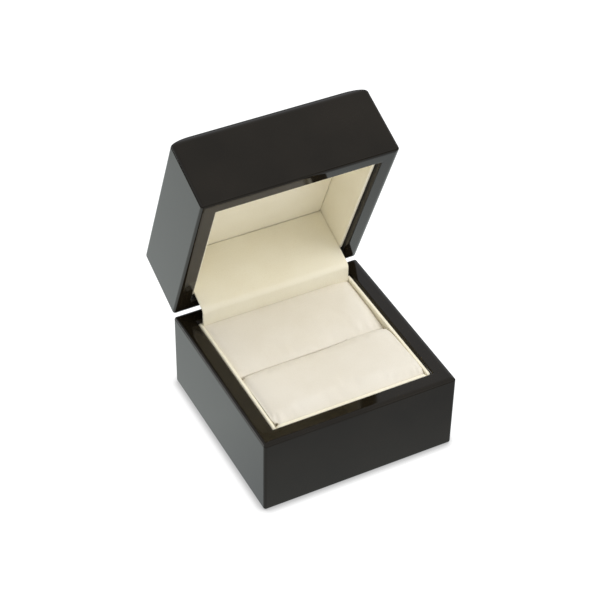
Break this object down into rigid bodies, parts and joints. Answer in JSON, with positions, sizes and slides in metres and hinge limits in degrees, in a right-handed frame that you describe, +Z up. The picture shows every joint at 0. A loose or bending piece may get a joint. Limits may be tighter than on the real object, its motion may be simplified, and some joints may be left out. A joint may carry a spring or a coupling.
{
  "type": "ring display box",
  "caption": "Small square ring box in black lacquered wood with a hinged lid, a cream leatherette lining and a two-part ring pad with a slot for a ring.",
  "frame": {"origin": "centre of the base's underside, on the surface that the box stands on", "axes": "+X to the right along the front edge, +Y from the front to the hinge at the back, +Z up; the lid stands open"},
  "size_m": [0.065, 0.0869, 0.0955],
  "materials": {
    "lacquer": "polished",
    "board": "matte",
    "lining": "satin",
    "pad_cover": "satin",
    "foam": "matte",
    "card": "matte",
    "felt": "matte",
    "hinge_steel": "satin",
    "screw_steel": "satin",
    "spring_steel": "satin"
  },
  "bodies": {
    "base": {"base_front_wall": "lacquer", "base_left_wall": "lacquer", "base_right_wall": "lacquer", "base_rear_wall": "lacquer", "base_floor_panel": "board", "base_felt": "felt", "base_front_liner": "lining", "base_left_liner": "lining", "base_right_liner": "lining", "base_rear_liner": "lining", "pad_board": "card", "front_roll_foam": "foam", "front_roll_cover": "pad_cover", "rear_cushion_foam": "foam", "rear_cushion_cover": "pad_cover", "hinge_base_leaf": "hinge_steel", "hinge_base_screws": "screw_steel", "hinge_pin": "screw_steel", "hinge_spring": "spring_steel", "hinge_flap": "lining"},
    "lid": {"lid_front_wall": "lacquer", "lid_left_wall": "lacquer", "lid_right_wall": "lacquer", "lid_rear_wall": "lacquer", "lid_top_panel": "lacquer", "lid_front_liner": "lining", "lid_left_liner": "lining", "lid_right_liner": "lining", "lid_rear_liner": "lining", "lid_top_board": "card", "lid_top_lining": "lining", "hinge_lid_leaf": "hinge_steel", "hinge_lid_screws": "screw_steel"}
  },
  "joints": [
    {"name": "lid_hinge", "type": "hinge", "parent": "base", "child": "lid", "pos_m": [0, 0.0322, 0.0275], "axis": [-1, 0, 0], "range_deg": [-68, 0], "deforming": ["hinge_flap"]}
  ]
}
